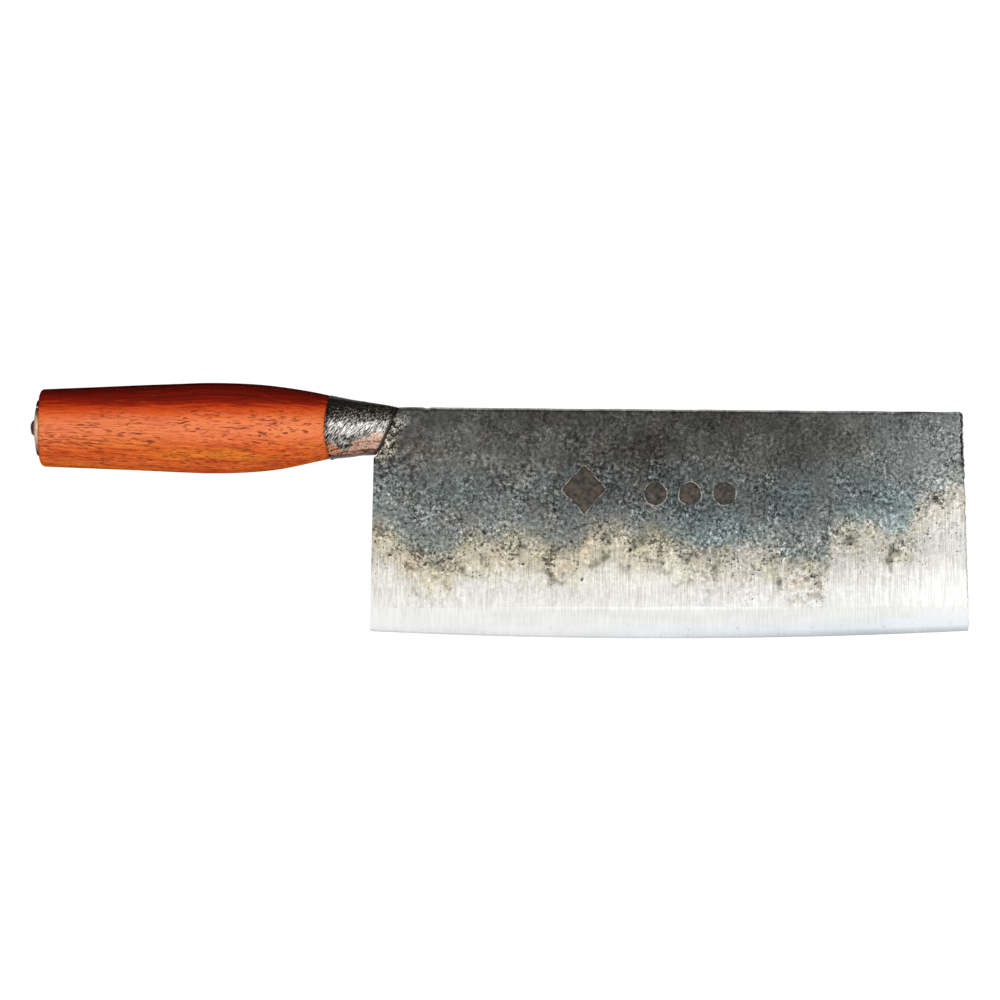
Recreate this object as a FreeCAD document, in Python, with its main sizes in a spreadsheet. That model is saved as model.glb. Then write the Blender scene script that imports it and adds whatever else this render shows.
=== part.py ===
import FreeCAD, Part
import math
import os
import re

import Sketcher
from FreeCAD import Placement, Rotation, Vector

# Forged Chinese-pattern cleaver, 8 inch edge, in millimetres.
# +X runs from the butt of the handle to the tip, +Z from the cutting edge to the spine,
# +Y through the thickness. The origin is on the handle axis at the centre of the grip.
# Left and right are those of a hand holding the grip with the edge down.

DIMENSIONS = {
    # blade outline, seen from the side
    "spine_z": 7.0,
    "tip_z": 5.4,
    "heel_z": -9.6,
    "heel_x": 63.6,
    "heel_lean": 0.022,
    "tip_x": 260.9,
    "tip_lean": 0.030,
    "edge_heel_z": -68.2,
    "edge_tip_z": -67.8,
    "edge_sweep": 2050.0,
    "heel_corner": 0.8,
    "toe_corner": 0.5,
    "tip_corner": 1.2,
    # blade section: two soft claddings over a hard core
    "spine_half": 2.0,
    "face_fall": 0.0138,
    "face_thin": 0.0026,
    "crease_z": -41.0,
    "exposed_z": -60.5,
    "core_half": 0.45,
    "feather": 0.06,
    "edge_grind": 0.036,
    # line where the plate is cut back to meet the ferrule
    "bias_x": 71.7,
    "bias_lean": 0.44,
    # lug of the blade, held in the fork of the tang
    "lug_back": 58.5,
    "lug_top": 3.8,
    "lug_bottom": -4.8,
    "lug_half": 1.5,
    # maker's place: plain punched shapes with no meaning
    "lozenge_x": 134.0,
    "lozenge_z": -20.5,
    "lozenge_wide": 15.0,
    "lozenge_high": 17.0,
    "punch_x": 158.0,
    "punch_z": -22.0,
    "punch_pitch": 11.5,
    "punch_radius": 3.9,
    "stamp_depth": 0.25,
    # tang
    "neck_radius": 2.3,
    "neck_front": -44.0,
    "rod_radius": 3.0,
    "fork_back": 56.5,
    "fork_front": 65.5,
    "fork_half": 3.4,
    "head_x": -51.3,
    "head_radius": 2.85,
    "head_flat": 0.8,
    "head_dome": 3.0,
    # butt washer
    "crown_x": -50.1,
    "rim_x": -48.9,
    "rim_radius": 9.45,
    "rim_land": 0.85,
    "washer_wall": 0.95,
    "washer_dome": 35.0,
    "nick_wide": 0.9,
    "nick_deep": 0.5,
    # grip
    "butt_x": -48.2,
    "butt_radius": 12.9,
    "butt_round": 1.2,
    "belly_x": 4.0,
    "belly_radius": 15.05,
    "belly_sweep": 170.0,
    "front_x": 49.5,
    "front_radius": 10.83,
    "tenon_root": 10.3,
    "tenon_end": 9.3,
    "tenon_x": 55.0,
    "bore_radius": 4.2,
    # ferrule: a rolled cone drawn down to an oval nose
    "wall": 1.2,
    "mouth_x": 45.0,
    "mouth_radius": 11.9,
    "waist_x": 55.6,
    "waist_radius": 9.75,
    "throat_x": 63.2,
    "throat_high": 8.8,
    "throat_wide": 7.7,
    "throat_drop": 0.35,
    "nose_x": 73.0,
    "nose_high": 7.5,
    "nose_wide": 5.4,
    "nose_drop": 0.7,
    "saddle_x": 49.2,
    "saddle_sweep": 36.0,
    "seam_gap": 1.4,
    "seam_turn": 147.0,
    "seam_proud": 0.25,
    "braze_back": 56.0,
    # reach of the cutting tools past the material
    "margin": 5.0,
    "reach": 280.0,
}

NODES = (
    "blade_core",
    "blade_cladding_right",
    "blade_cladding_left",
    "tang",
    "butt_washer",
    "tang_bedding",
    "handle_grip",
    "ferrule",
    "ferrule_seam_braze",
    "neck_braze",
)

doc = FreeCAD.newDocument("cleaver")
sheet = doc.addObject("Spreadsheet::Sheet", "Dims")
for row, (alias, number) in enumerate(DIMENSIONS.items(), start=1):
    sheet.set(f"A{row}", alias)
    sheet.set(f"B{row}", str(number))
    sheet.setAlias(f"B{row}", alias)
doc.recompute()


def formula(text):
    """Write an expression of aliases with the name of the sheet before each."""
    return re.sub(r"[a-z_]+", lambda w: f"Dims.{w[0]}" if w[0] in DIMENSIONS else w[0], text)


def value(text):
    """Number that an expression of aliases comes to."""
    result = sheet.evalExpression(formula(text))
    return float(getattr(result, "Value", result))


def bind(thing, **sizes):
    """Bind properties of an object to expressions of aliases."""
    for prop, text in sizes.items():
        thing.setExpression(prop.replace("__", "."), formula(text))


# ---------------------------------------------------------------- sketches


def new_body(label):
    body = doc.addObject("PartDesign::Body", label)
    body.Label = label
    return body


def new_sketch(body, name, role, **offset):
    """Sketch on an origin plane of its own body, moved or tilted by expressions."""
    sketch = body.newObject("Sketcher::SketchObject", name)
    plane = next(item for item in body.Origin.OriginFeatures if item.Role == role)
    sketch.AttachmentSupport = [(plane, "")]
    sketch.MapMode = "FlatFace"
    bind(sketch, **{f"AttachmentOffset__{key}": text for key, text in offset.items()})
    return sketch


def fix_point(sketch, geometry, end, point):
    """Hold one point of a sketch at a bound distance from the sketch origin."""
    for kind, text in zip(("DistanceX", "DistanceY"), point):
        number = sketch.addConstraint(
            Sketcher.Constraint(kind, -1, 1, geometry, end, value(text))
        )
        sketch.setExpression(f"Constraints[{number}]", formula(text))


def draw_outline(sketch, points, arcs=None):
    """Closed outline; arcs gives (radius, side) for a side that bulges left (1) or right (-1)."""
    arcs = arcs or {}
    spots = [Vector(value(x), value(y), 0) for x, y in points]
    first = sketch.GeometryCount
    ends = []
    for i, start in enumerate(spots):
        stop = spots[(i + 1) % len(spots)]
        if i not in arcs:
            sketch.addGeometry(Part.LineSegment(start, stop), False)
            ends.append((1, 2))
            continue
        radius, side = arcs[i]
        chord = stop - start
        bulge = value(radius) - math.sqrt(value(radius) ** 2 - chord.Length**2 / 4)
        left = Vector(-chord.y, chord.x, 0).normalize()
        middle = (start + stop) * 0.5 + left * side * bulge
        sketch.addGeometry(Part.Arc(start, middle, stop), False)
        ends.append((2, 1) if side > 0 else (1, 2))
    for i, point in enumerate(points):
        after = (i + 1) % len(points)
        sketch.addConstraint(
            Sketcher.Constraint(
                "Coincident", first + i, ends[i][1], first + after, ends[after][0]
            )
        )
        fix_point(sketch, first + i, ends[i][0], point)
    for i, (radius, side) in arcs.items():
        number = sketch.addConstraint(
            Sketcher.Constraint("Radius", first + i, value(radius))
        )
        sketch.setExpression(f"Constraints[{number}]", formula(radius))


def draw_circle(sketch, centre, radius):
    spot = Vector(value(centre[0]), value(centre[1]), 0)
    index = sketch.addGeometry(
        Part.Circle(spot, Vector(0, 0, 1), value(radius)), False
    )
    fix_point(sketch, index, 3, centre)
    number = sketch.addConstraint(Sketcher.Constraint("Radius", index, value(radius)))
    sketch.setExpression(f"Constraints[{number}]", formula(radius))


def box_points(left, low, right, high):
    return [(left, low), (right, low), (right, high), (left, high)]


# ---------------------------------------------------------------- features


def add(body, kind, name, profile, **settings):
    feature = body.newObject(f"PartDesign::{kind}", name)
    feature.Profile = profile
    for prop, setting in settings.items():
        setattr(feature, prop, setting)
    return feature


def pad(body, name, profile, length, **settings):
    feature = add(body, "Pad", name, profile, **settings)
    bind(feature, Length=length)
    return feature


def pocket(body, name, profile, depth, **settings):
    feature = add(body, "Pocket", name, profile, **settings)
    bind(feature, Length=depth)
    return feature


def revolve(body, name, profile):
    feature = add(body, "Revolution", name, profile, Angle=360)
    feature.ReferenceAxis = (profile, ["H_Axis"])
    return feature


def round_edges(body, name, radius, wanted):
    """Fillet the edges of the body's tip that the test picks."""
    doc.recompute()
    tip = body.Tip
    names = [f"Edge{i}" for i, edge in enumerate(tip.Shape.Edges, start=1) if wanted(edge)]
    if not names:
        raise SystemExit(f"{body.Label}: no edge to round for {name}")
    feature = body.newObject("PartDesign::Fillet", name)
    feature.Base = (tip, names)
    bind(feature, Radius=radius)
    return feature


def across_at(point):
    """Test for edges that run through the thickness at one corner of an outline."""
    x, z = value(point[0]), value(point[1])

    def wanted(edge):
        return all(math.hypot(v.X - x, v.Z - z) < 0.01 for v in edge.Vertexes)

    return wanted


def on_bias(z):
    return (f"bias_x - bias_lean * (spine_z - ({z}))", z)


def on_heel(z):
    return (f"heel_x - heel_lean * (heel_z - ({z}))", z)


def on_tip(z):
    return (f"tip_x + tip_lean * (tip_z - ({z}))", z)


def plate_points(heel_low, tip_low):
    """Blade outline from the ferrule round by heel, toe and tip to the spine."""
    return [
        on_bias("heel_z"),
        ("heel_x", "heel_z"),
        on_heel(heel_low),
        on_tip(tip_low),
        ("tip_x", "tip_z"),
        ("bias_x", "spine_z"),
    ]


def lug_points():
    return [
        ("lug_back", "lug_bottom"),
        on_bias("lug_bottom"),
        on_bias("lug_top"),
        ("lug_back", "lug_top"),
    ]


# ---------------------------------------------------------------- blade


def make_core():
    """Hard steel layer: shows along the edge, where it is ground to a wedge."""
    body = new_body("blade_core")
    outline = new_sketch(body, "core_outline", "XZ_Plane")
    corners = plate_points("edge_heel_z", "edge_tip_z")
    draw_outline(outline, corners, {2: ("edge_sweep", -1)})
    pad(body, "core_plate", outline, "core_half * 2", Midplane=True)
    for name, radius, corner in (
        ("heel_round", "heel_corner", corners[2]),
        ("toe_round", "toe_corner", corners[3]),
        ("tip_round", "tip_corner", corners[4]),
    ):
        round_edges(body, name, radius, across_at(corner))
    for side, name in ((1, "right"), (-1, "left")):
        grind = new_sketch(
            body,
            f"edge_grind_{name}",
            "XZ_Plane",
            Base__y="exposed_z",
            Base__z=f"{side} * core_half",
            Rotation__Roll=f"{side} * atan(edge_grind)",
        )
        draw_outline(grind, box_points("-reach", "-reach", "reach * 2", "margin"))
        pocket(body, f"edge_{name}", grind, "margin", Reversed=side > 0)
    lug = new_sketch(body, "core_lug_outline", "XZ_Plane")
    draw_outline(lug, lug_points())
    pad(body, "core_lug", lug, "core_half * 2", Midplane=True)
    return body


def face_sketch(body, name, side, depth):
    """Sketch in the flat of a blade face, or the given depth under it."""
    return new_sketch(
        body,
        name,
        "XZ_Plane",
        Base__x="bias_x",
        Base__y="spine_z",
        Base__z=f"{side} * (spine_half - ({depth}))",
        Rotation__Roll=f"{side} * atan(face_fall)",
        Rotation__Pitch=f"{side} * atan(face_thin)",
    )


def ground_section(body, name, side, x):
    """Cross-section, at one station, of the metal ground away below the crease."""
    crease = f"(spine_half - face_fall * (spine_z - crease_z) - face_thin * ({x} - bias_x))"
    foot = "(core_half + feather)"
    section = new_sketch(body, name, "YZ_Plane", Base__z=x)
    low = "crease_z + 1.1 * (exposed_z - crease_z)"
    draw_outline(
        section,
        [
            (f"-{side} * {crease}", "crease_z"),
            (f"-{side} * ({crease} + 1.1 * ({foot} - {crease}))", low),
            (f"-{side} * margin", low),
            (f"-{side} * margin", "crease_z"),
        ],
    )
    return section


def make_cladding(label, side):
    """Soft iron layer on one face; side is 1 for the right (-Y) face, -1 for the left."""
    body = new_body(label)
    outline = new_sketch(body, "cladding_outline", "XZ_Plane", Base__z=f"{side} * core_half")
    corners = plate_points("exposed_z", "exposed_z")
    draw_outline(outline, corners)
    outward = side > 0
    pad(body, "cladding_plate", outline, "spine_half", Reversed=not outward)
    round_edges(body, "tip_round", "tip_corner", across_at(corners[4]))

    face = face_sketch(body, "face_plane", side, "0")
    draw_outline(face, box_points("-reach", "-reach", "reach", "reach"))
    pocket(body, "face_taper", face, "margin", Reversed=outward)

    ground = add(
        body,
        "SubtractiveLoft",
        "ground_bevel",
        ground_section(body, "ground_heel", side, "heel_x - margin"),
        Ruled=True,
    )
    ground.Sections = [ground_section(body, "ground_tip", side, "tip_x + margin * 2")]

    lug = new_sketch(body, "cladding_lug_outline", "XZ_Plane", Base__z=f"{side} * core_half")
    draw_outline(lug, lug_points())
    pad(body, "cladding_lug", lug, "lug_half - core_half", Reversed=not outward)
    return body


def stamp_marks(body):
    """Plain punched shapes in the right face: one lozenge and a row of three rounds."""
    marks = face_sketch(body, "marks", 1, "stamp_depth")
    x, z = "lozenge_x - bias_x", "lozenge_z - spine_z"
    draw_outline(
        marks,
        [
            (f"{x} - lozenge_wide / 2", z),
            (x, f"{z} - lozenge_high / 2"),
            (f"{x} + lozenge_wide / 2", z),
            (x, f"{z} + lozenge_high / 2"),
        ],
    )
    for i in range(3):
        centre = (f"punch_x + {i} * punch_pitch - bias_x", "punch_z - spine_z")
        draw_circle(marks, centre, "punch_radius")
    pocket(body, "mark_recess", marks, "margin", Reversed=True)


blade_core = make_core()
cladding_right = make_cladding("blade_cladding_right", 1)
stamp_marks(cladding_right)
cladding_left = make_cladding("blade_cladding_left", -1)


# ---------------------------------------------------------------- tang and washer


def make_tang():
    """Round tapered rod: forked over the blade lug in front, peened over the washer behind."""
    body = new_body("tang")
    turned = new_sketch(body, "tang_profile", "XZ_Plane")
    draw_outline(
        turned,
        [
            ("fork_back + 1", "0"),
            ("fork_back + 1", "rod_radius"),
            ("neck_front", "neck_radius"),
            ("crown_x", "neck_radius"),
            ("crown_x", "head_radius"),
            ("head_x", "head_flat"),
            ("head_x", "0"),
        ],
        {4: ("head_dome", -1)},
    )
    revolve(body, "tang_rod", turned)
    fork = new_sketch(body, "fork_section", "YZ_Plane", Base__z="fork_back")
    draw_outline(fork, box_points("-fork_half", "lug_bottom", "fork_half", "lug_top"))
    pad(body, "fork_block", fork, "fork_front - fork_back")
    slot = new_sketch(body, "fork_slot_outline", "XZ_Plane")
    draw_outline(
        slot,
        box_points("lug_back", "lug_bottom - margin", "fork_front + margin", "lug_top + margin"),
    )
    pocket(body, "fork_slot", slot, "lug_half * 2", Midplane=True)
    return body


def make_washer():
    """Domed sheet washer between the butt of the grip and the peened head."""
    body = new_body("butt_washer")
    section = new_sketch(body, "washer_section", "XZ_Plane")
    draw_outline(
        section,
        [
            ("butt_x", "rim_radius - rim_land"),
            ("butt_x", "rim_radius"),
            ("rim_x", "rim_radius"),
            ("crown_x", "neck_radius"),
            ("crown_x + washer_wall", "neck_radius"),
        ],
        {2: ("washer_dome", -1), 4: ("washer_dome", 1)},
    )
    revolve(body, "washer_dome", section)
    nick = new_sketch(body, "nick_outline", "XZ_Plane")
    draw_outline(
        nick,
        [
            ("rim_x + 0.3", "rim_radius - nick_deep"),
            ("rim_x + 0.3 + nick_wide", "rim_radius + margin"),
            ("rim_x + 0.3 - nick_wide", "rim_radius + margin"),
        ],
    )
    pocket(body, "rim_nick", nick, "nick_wide", Midplane=True)
    return body


tang = make_tang()
butt_washer = make_washer()


# ---------------------------------------------------------------- booleans


def primitive(kind, name, turn=None, **sizes):
    thing = doc.addObject(f"Part::{kind}", name)
    if turn:
        thing.Placement = Placement(Vector(0, 0, 0), Rotation(turn[0], turn[1]))
    bind(thing, **sizes)
    return thing


def boolean(kind, label, base, *tools):
    """Part::Cut, Common or Fuse taken one tool after another; the last carries the label."""
    for i, tool in enumerate(tools, start=1):
        step = doc.addObject(f"Part::{kind}", f"{label}_{kind}{i}")
        step.Base = base
        step.Tool = tool
        base = step
    base.Label = label
    return base


def ferrule_cone(name, grow):
    """Solid form of the ferrule, grown or shrunk all round: a cone, then an oval nose."""
    root = primitive(
        "Cone",
        f"{name}_root",
        turn=(Vector(0, 1, 0), 90),
        Radius1=f"mouth_radius + ({grow})",
        Radius2=f"waist_radius + ({grow})",
        Height="waist_x - mouth_x",
        Placement__Base__x="mouth_x",
    )
    stations = (
        ("waist_x", "waist_radius", "waist_radius", "0"),
        ("throat_x", "throat_high", "throat_wide", "throat_drop"),
        ("nose_x", "nose_high", "nose_wide", "nose_drop"),
    )
    nose = doc.addObject("Part::Loft", f"{name}_nose")
    nose.Sections = [
        primitive(
            "Ellipse",
            f"{name}_section{i}",
            turn=(Vector(0, 1, 0), 90),
            MajorRadius=f"{high} + ({grow})",
            MinorRadius=f"{wide} + ({grow})",
            Placement__Base__x=x,
            Placement__Base__z=f"-({drop})",
        )
        for i, (x, high, wide, drop) in enumerate(stations)
    ]
    nose.Solid = True
    return boolean("Fuse", name, root, nose)


# oblique cut across the nose of the ferrule, where the plate of the blade starts
bias_cutter = primitive(
    "Box",
    "bias_cutter",
    turn=(Vector(0, 1, 0), 1),
    Length="margin * 6",
    Width="margin * 8",
    Height="margin * 12",
    Placement__Base__x="bias_x - bias_lean * margin * 8",
    Placement__Base__y="-margin * 4",
    Placement__Base__z="spine_z - margin * 8",
    Placement__Rotation__Angle="atan(bias_lean)",
)

# upright drum that gives the mouth of the ferrule its saddle shape
saddle_cutter = primitive(
    "Cylinder",
    "saddle_cutter",
    Radius="saddle_sweep",
    Height="margin * 8",
    Placement__Base__x="saddle_x - saddle_sweep",
    Placement__Base__z="-margin * 4",
)

# gap left between the two ends of the rolled sheet
seam_slot = primitive(
    "Box",
    "seam_slot",
    turn=(Vector(1, 0, 0), 1),
    Length="margin * 8",
    Width="seam_gap",
    Height="margin * 4",
    Placement__Base__x="mouth_x - margin",
    Placement__Base__y="-seam_gap / 2 * cos(seam_turn * 1 deg)",
    Placement__Base__z="-seam_gap / 2 * sin(seam_turn * 1 deg)",
    Placement__Rotation__Angle="seam_turn",
)

throat_block = primitive(
    "Box",
    "throat_block",
    Length="margin * 4",
    Width="margin * 6",
    Height="margin * 6",
    Placement__Base__x="braze_back",
    Placement__Base__y="-margin * 3",
    Placement__Base__z="-margin * 3",
)

outside = ferrule_cone("ferrule_outside", "0")
inside = ferrule_cone("ferrule_inside", "-wall")
proud = ferrule_cone("seam_outside", "seam_proud")

ferrule = boolean("Cut", "ferrule", outside, inside, saddle_cutter, bias_cutter, seam_slot)
bead_shell = boolean("Cut", "bead_shell", proud, inside, saddle_cutter, bias_cutter)
seam_braze = boolean("Common", "ferrule_seam_braze", bead_shell, seam_slot)

throat_fill = boolean("Common", "throat_fill", inside, throat_block)
neck_braze = boolean(
    "Cut",
    "neck_braze",
    throat_fill,
    bias_cutter,
    blade_core,
    cladding_right,
    cladding_left,
    tang,
)


# ---------------------------------------------------------------- grip


def make_grip_blank():
    """Turned barrel: long cone, rounded belly, then a tapered tenon for the ferrule."""
    body = new_body("grip_blank")
    profile = new_sketch(body, "grip_profile", "XZ_Plane")
    draw_outline(
        profile,
        [
            ("butt_x", "bore_radius"),
            ("butt_x", "butt_radius"),
            ("belly_x", "belly_radius"),
            ("front_x", "front_radius"),
            ("front_x", "tenon_root"),
            ("tenon_x", "tenon_end"),
            ("tenon_x", "bore_radius"),
        ],
        {2: ("belly_sweep", 1)},
    )
    revolve(body, "grip_barrel", profile)

    def butt_rim(edge):
        ring = getattr(edge.Curve, "Radius", 0)
        return abs(ring - value("butt_radius")) < 0.01

    round_edges(body, "butt_round", "butt_round", butt_rim)
    return body


handle_grip = boolean("Cut", "handle_grip", make_grip_blank(), ferrule, seam_braze)

bore_fill = primitive(
    "Cylinder",
    "bore_fill",
    turn=(Vector(0, 1, 0), 90),
    Radius="bore_radius",
    Height="tenon_x - butt_x",
    Placement__Base__x="butt_x",
)
tang_bedding = boolean("Cut", "tang_bedding", bore_fill, tang)


# ---------------------------------------------------------------- check and write

doc.recompute()
for thing in doc.Objects:
    if "Invalid" in thing.State or "Error" in thing.State:
        raise SystemExit(f"{thing.Label}: {thing.State}")

os.makedirs("parts", exist_ok=True)
for node in NODES:
    shape = doc.getObjectsByLabel(node)[0].Shape
    if shape.isNull() or not shape.isValid() or len(shape.Solids) != 1:
        raise SystemExit(f"{node}: not one sound solid")
    shape.exportStep(f"parts/{node}.step")
    print(f"{node}: {shape.Volume:.1f} mm3")
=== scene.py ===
import math
from types import SimpleNamespace

import bpy
import numpy as np
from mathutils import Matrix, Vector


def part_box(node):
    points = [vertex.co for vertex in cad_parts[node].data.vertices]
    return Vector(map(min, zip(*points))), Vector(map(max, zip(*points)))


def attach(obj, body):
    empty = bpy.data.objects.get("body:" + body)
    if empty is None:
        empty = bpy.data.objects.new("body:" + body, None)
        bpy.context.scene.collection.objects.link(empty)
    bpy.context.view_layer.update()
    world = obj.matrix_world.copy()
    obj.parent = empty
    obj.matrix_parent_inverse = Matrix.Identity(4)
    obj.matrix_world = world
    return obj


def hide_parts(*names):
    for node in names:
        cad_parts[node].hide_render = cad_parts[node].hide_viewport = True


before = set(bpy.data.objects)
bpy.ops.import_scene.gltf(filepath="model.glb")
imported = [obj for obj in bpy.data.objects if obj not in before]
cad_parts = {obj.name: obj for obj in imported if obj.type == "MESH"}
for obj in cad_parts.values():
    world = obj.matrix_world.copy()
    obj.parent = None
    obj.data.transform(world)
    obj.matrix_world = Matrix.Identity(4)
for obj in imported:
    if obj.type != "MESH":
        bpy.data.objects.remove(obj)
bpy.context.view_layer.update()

# Row frame: +X from the butt to the tip, +Z from the edge to the spine, -Y is the marked face.
# Shapes are worked out in millimetres and turned to metres when a mesh is made.
MM = 0.001


def box_mm(node):
    low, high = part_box(node)
    return np.array(low) / MM, np.array(high) / MM


CORE_LOW, CORE_HIGH = box_mm("blade_core")
CLAD_LOW = box_mm("blade_cladding_right")[0]
GRIP_LOW, GRIP_HIGH = box_mm("handle_grip")
WASHER_LOW, WASHER_HIGH = box_mm("butt_washer")

# blade
SPINE_Z = CORE_HIGH[2]
SPINE_DROP = 1.6
EXPOSED_Z = CLAD_LOW[2]
CREASE_Z = -41.0
CORE_HALF = CORE_HIGH[1]
SPINE_HALF = -CLAD_LOW[1]
LUG_BACK = CORE_LOW[0]
LUG_LOW, LUG_TOP, LUG_HALF = -4.8, 3.8, 1.5
FACE_FALL = 0.0138
FACE_THIN = 0.0026
FEATHER = 0.03
HEEL_X, HEEL_Z, HEEL_LEAN = 63.6, -9.6, 0.022
TIP_X, TIP_LEAN = 260.9, 0.030
TIP_Z = SPINE_Z - SPINE_DROP
EDGE_LOW_X, EDGE_SWEEP = 161.0, 2050.0
EDGE_LOW_Z = CORE_LOW[2]
BIAS_X, BIAS_LEAN = 71.7, 0.44

# grip and ferrule
BUTT_X = GRIP_LOW[0]
TENON_X = GRIP_HIGH[0]
BELLY_X, BELLY_R, BELLY_SWEEP, BELLY_LEAN = 4.0, 15.05, 170.0, 0.0412
BUTT_R = 12.9
BORE_R = 4.2
SADDLE_X, SADDLE_SWEEP = 49.2, 36.0
WALL = 1.2
FERRULE_X = (45.0, 55.6, 63.2, 73.0)
FERRULE_HIGH = (11.9, 9.75, 8.8, 7.5)
FERRULE_WIDE = (11.9, 9.75, 7.7, 5.4)
FERRULE_DROP = (0.0, 0.0, -0.35, -0.7)
FERRULE_LENGTH = 22.0
FILE_ANGLE = math.radians(48)
SEAM_ANGLE = math.radians(237.0)
SEAM_GAP, SEAM_R = 1.4, 9.0
TENON_GAP, BRAZE_GAP = 0.05, 0.03

# where the forge scale ends on the marked face: (x, z) from heel to tip
SCALE_LINE = (
    (62, -33), (69, -34.5), (75, -42), (82, -45), (89, -45.5), (94, -39), (104, -40),
    (112, -38), (124, -41), (132, -41.5), (137, -36), (145, -35), (151, -38), (157, -36),
    (164, -39.5), (175, -43.5), (186, -41.5), (197, -42), (203, -46), (215, -46.5),
    (218, -34.5), (230, -34), (236, -37.5), (242, -37), (246, -28), (252, -23), (265, -18),
)
# hidden face: the same kind of line, calmer
SCALE_LINE_BACK = (
    (62, -40), (85, -36), (105, -42), (130, -37), (160, -43), (190, -38), (220, -41),
    (245, -33), (265, -22),
)

# plain punched shapes on the marked face
LOZENGE = (134.0, -20.5, 7.5, 8.5)
PUNCHES = ((158.0, -22.0), (169.5, -22.0), (181.0, -22.0))
PUNCH_R = 3.9
STAMP_DEPTH = 0.25
PIT_COUNT, PIT_DEPTH = 90, 0.12


# ---------------------------------------------------------------- noise in plain numbers


def lattice(cell, seed):
    """Repeatable value from -1 to 1 for each whole-number cell."""
    c = cell.astype(np.int64)
    n = c[..., 0] * 374761393 + c[..., 1] * 668265263 + c[..., 2] * 1274126177 + seed * 974634757
    n = (n ^ (n >> 13)) * 1103515245
    n = (n ^ (n >> 16)) & 0xFFFF
    return n / 32767.5 - 1.0


def noise(p, size, seed, octaves=3):
    """Smooth noise, about -1 to 1, with lumps of the given size in millimetres."""
    total, weight, gain = 0.0, 0.0, 1.0
    q = np.asarray(p, float) / size
    for octave in range(octaves):
        base = np.floor(q)
        f = q - base
        f = f * f * (3 - 2 * f)
        value = 0.0
        for corner in range(8):
            step = np.array([corner & 1, corner >> 1 & 1, corner >> 2 & 1])
            share = np.prod(np.where(step, f, 1 - f), axis=-1)
            value = value + share * lattice(base + step, seed + octave)
        total, weight = total + gain * value, weight + gain
        q, gain = q * 2.03, gain * 0.5
    return total / weight * 1.6


def smooth(low, high, v):
    t = np.clip((v - low) / (high - low), 0, 1)
    return t * t * (3 - 2 * t)


def rounding(distance, radius):
    """How far a rounded corner falls back at this distance from its side."""
    t = np.clip(1 - distance / radius, 0, 1)
    return radius * (1 - np.sqrt(np.clip(1 - t * t, 0, 1)))


def xyz(x, y, z):
    return np.stack(np.broadcast_arrays(x, y, z), axis=-1).astype(float)


# ---------------------------------------------------------------- meshes


def make_object(name, verts, faces, fields=None, flat=()):
    mesh = bpy.data.meshes.new(name)
    mesh.from_pydata((np.asarray(verts) * MM).tolist(), [], faces)
    mesh.update()
    for key, values in (fields or {}).items():
        layer = mesh.attributes.new(key, "FLOAT", "POINT")
        layer.data.foreach_set("value", np.asarray(values, np.float32))
    smooth_flags = np.ones(len(mesh.polygons), bool)
    smooth_flags[list(flat)] = False
    mesh.polygons.foreach_set("use_smooth", smooth_flags)
    mesh.validate()
    obj = bpy.data.objects.new(name, mesh)
    bpy.context.scene.collection.objects.link(obj)
    return obj


def skin(name, loops, ring=False, fields=None, extra=()):
    """Closed mesh through loops of points; ring joins the last loop to the first, else both are capped."""
    loops = np.asarray(loops)
    count, size = loops.shape[:2]
    index = np.arange(count * size).reshape(count, size)
    nxt = np.roll(index, -1, axis=0) if ring else index[1:]
    here = index if ring else index[:-1]
    quads = np.stack(
        [here, nxt, np.roll(nxt, -1, axis=1), np.roll(here, -1, axis=1)], axis=-1
    ).reshape(-1, 4)
    faces = quads.tolist()
    flat = []
    if not ring:
        flat = [len(faces), len(faces) + 1]
        faces += [index[0].tolist(), index[-1][::-1].tolist()]
    verts = loops.reshape(-1, 3)
    values = {key: np.asarray(v).reshape(-1) for key, v in (fields or {}).items()}
    for points, sides in extra:
        start = len(verts)
        verts = np.vstack([verts, points])
        flat += range(len(faces), len(faces) + len(sides))
        faces += [[start + i for i in side] for side in sides]
        values = {key: np.concatenate([v, np.zeros(len(points))]) for key, v in values.items()}
    return make_object(name, verts, faces, values, flat)


def finish_mesh(obj, angle=40):
    """Face normals outward and hard edges kept by angle."""
    bpy.context.view_layer.objects.active = obj
    obj.select_set(True)
    bpy.ops.object.mode_set(mode="EDIT")
    bpy.ops.mesh.select_all(action="SELECT")
    bpy.ops.mesh.normals_make_consistent(inside=False)
    bpy.ops.object.mode_set(mode="OBJECT")
    bpy.ops.object.shade_smooth_by_angle(angle=math.radians(angle))
    obj.select_set(False)


def place(obj, material, slot, *nodes):
    finish_mesh(obj)
    obj.data.materials.clear()
    obj.data.materials.append(material)
    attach(obj, "root")
    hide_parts(*nodes)


def spaced(low, high, step, fine=(0.0, 0.07, 0.16, 0.3)):
    """Positions from low to high with a few close ones by each end for a rounded edge."""
    count = max(2, int(round((high - low - 2 * fine[-1]) / step)))
    inner = np.linspace(low + fine[-1], high - fine[-1], count + 1)
    return np.concatenate([low + np.array(fine[:-1]), inner, high - np.array(fine[:-1])[::-1]])


# ---------------------------------------------------------------- blade outline


def bias(z):
    return BIAS_X - BIAS_LEAN * (SPINE_Z - z)


def left_side(z):
    heel = HEEL_X - HEEL_LEAN * (HEEL_Z - z)
    return heel + (bias(z) - heel) * smooth(HEEL_Z - 0.3, HEEL_Z + 0.3, z)


def right_side(z):
    tip = TIP_X + TIP_LEAN * (TIP_Z - z)
    ragged = 0.16 * noise(xyz(z, 0, 0), 0.9, 71, 2) - 0.10
    return tip + ragged - rounding(TIP_Z - z, 1.2)


def top_side(x):
    slope = SPINE_DROP / (TIP_X - BIAS_X)
    dent = 0.35 * np.exp(-(((x - 81.5) / 0.9) ** 2))
    return SPINE_Z - slope * (x - BIAS_X) - 0.05 + 0.07 * noise(xyz(x, 0, 0), 7, 12, 3) - dent


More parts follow.
